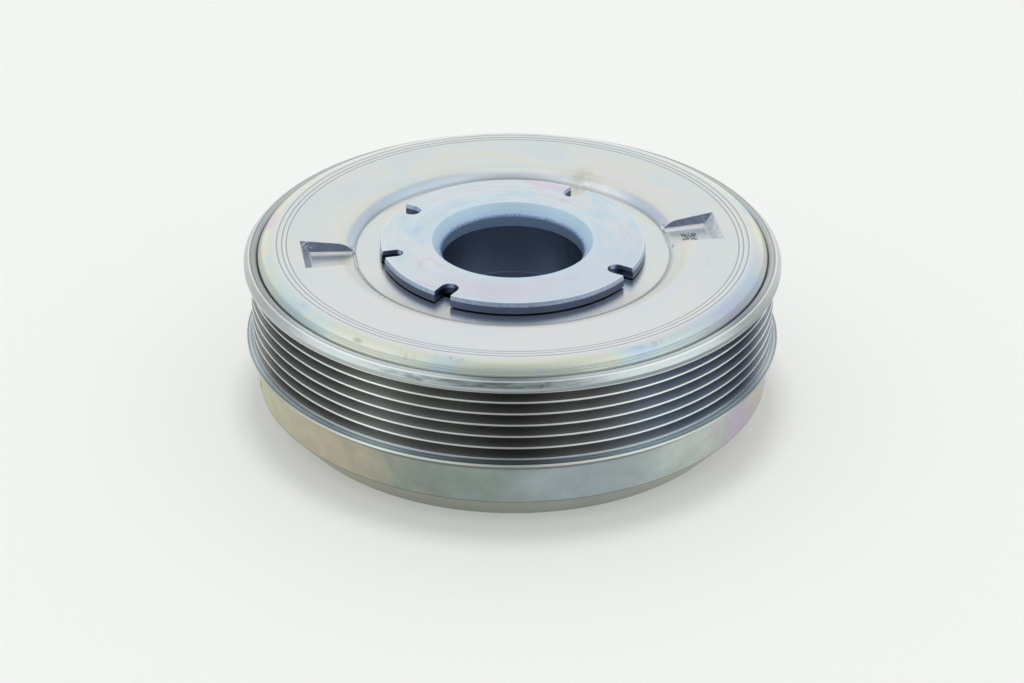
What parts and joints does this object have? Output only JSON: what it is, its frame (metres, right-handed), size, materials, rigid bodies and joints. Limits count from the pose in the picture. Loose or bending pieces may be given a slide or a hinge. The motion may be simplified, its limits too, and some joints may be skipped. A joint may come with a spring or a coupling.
{
  "type": "harmonic balancer",
  "caption": "Round crankshaft damper: a ribbed belt pulley with a pressed cover and a notched centre plate, over a bevelled inertia ring.",
  "frame": {"origin": "centre of the base, on the axis, where the inertia ring's rear face stands", "axes": "+Z along the crankshaft axis, out of the front plate; +X and +Y across, with -Y towards the camera of the picture"},
  "size_m": [0.1544, 0.1544, 0.0506],
  "materials": {
    "plated_pulley": "zinc plated, turned belt grooves, bright crests",
    "plated_cover": "zinc plated pressed sheet, satin, faint colour tints",
    "plated_plate": "zinc plated, satin, faint blue tint",
    "hub_steel": "forged and turned, dull",
    "ring_iron": "turned and plated, satin",
    "plain_steel": "plain, satin",
    "bush_plastic": "natural bearing plastic",
    "black_rubber": "moulded, dull"
  },
  "bodies": {
    "crank_side": {"crank_hub": "hub_steel", "front_plate": "plated_plate", "plate_dowel": "plain_steel", "inertia_ring": "ring_iron", "damper_rubber": "black_rubber", "bearing_bush": "bush_plastic", "decoupler_rubber": "black_rubber", "stop_plate": "plain_steel", "stop_rivets": "plain_steel", "stop_buffer_1": "black_rubber", "stop_buffer_2": "black_rubber", "stop_buffer_3": "black_rubber", "stop_buffer_4": "black_rubber"},
    "pulley_side": {"belt_pulley": "plated_pulley", "front_cover": "plated_cover", "pulley_carrier": "plain_steel"}
  },
  "joints": [
    {"name": "pulley_twist", "type": "hinge", "parent": "crank_side", "child": "pulley_side", "pos_m": [0, 0, 0.03], "axis": [0, 0, 1], "range_deg": [-15, 15], "stiffness_Nm_per_rad": 170}
  ]
}
